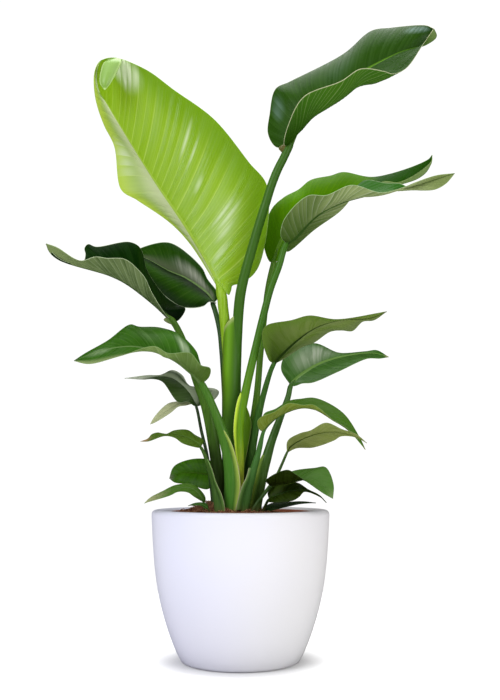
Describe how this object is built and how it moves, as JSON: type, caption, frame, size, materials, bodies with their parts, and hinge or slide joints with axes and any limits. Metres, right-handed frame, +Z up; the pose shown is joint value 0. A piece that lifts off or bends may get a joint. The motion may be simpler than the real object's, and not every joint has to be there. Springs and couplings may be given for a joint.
{
  "type": "potted bird of paradise plant",
  "caption": "Bird of paradise house plant with long-stalked paddle leaves, growing from soil in a grower pot inside a tapering round planter with a rolled rim.",
  "frame": {"origin": "centre of the planter's flat underside, on the surface it stands on", "axes": "+Z up along the planter's axis and the plant's height, +X to the right as seen from the front, -Y to the front"},
  "size_m": [0.6754, 0.3, 1.0969],
  "materials": {
    "planter": "satin white, faintly cool",
    "grower_pot": "matte terracotta brown",
    "soil": "rough reddish-brown coir fibres and crumbs",
    "leaf_lime": "satin, yellow-green young leaf with pleated side veins",
    "leaf_bright": "satin, bright green with fine side veins",
    "leaf_green": "satin, mid green with fine side veins and a paler midrib and edge",
    "leaf_dark": "satin, deep green with fine side veins",
    "leaf_pale": "matte, pale grey-green underside"
  },
  "bodies": {
    "root": {"planter": "planter", "grower_pot": "grower_pot", "soil": "soil", "leaf_lime_upright": "leaf_lime", "leaf_tall_right": "leaf_green", "leaf_right_front": "leaf_green", "leaf_right_back": "leaf_bright", "leaf_mid_right_upper": "leaf_green", "leaf_mid_right_lower": "leaf_green", "leaf_right_arch": "leaf_green", "leaf_right_low": "leaf_green", "leaf_right_droop": "leaf_green", "leaf_right_shade": "leaf_dark", "leaf_right_rim": "leaf_dark", "leaf_left_front": "leaf_dark", "leaf_left_back": "leaf_dark", "leaf_left_mid": "leaf_green", "leaf_left_grey": "leaf_pale", "leaf_left_pale": "leaf_pale", "leaf_left_brown_tip": "leaf_dark", "leaf_left_blunt": "leaf_green", "leaf_left_rim": "leaf_green", "leaf_left_sprout": "leaf_green"}
  },
  "joints": []
}
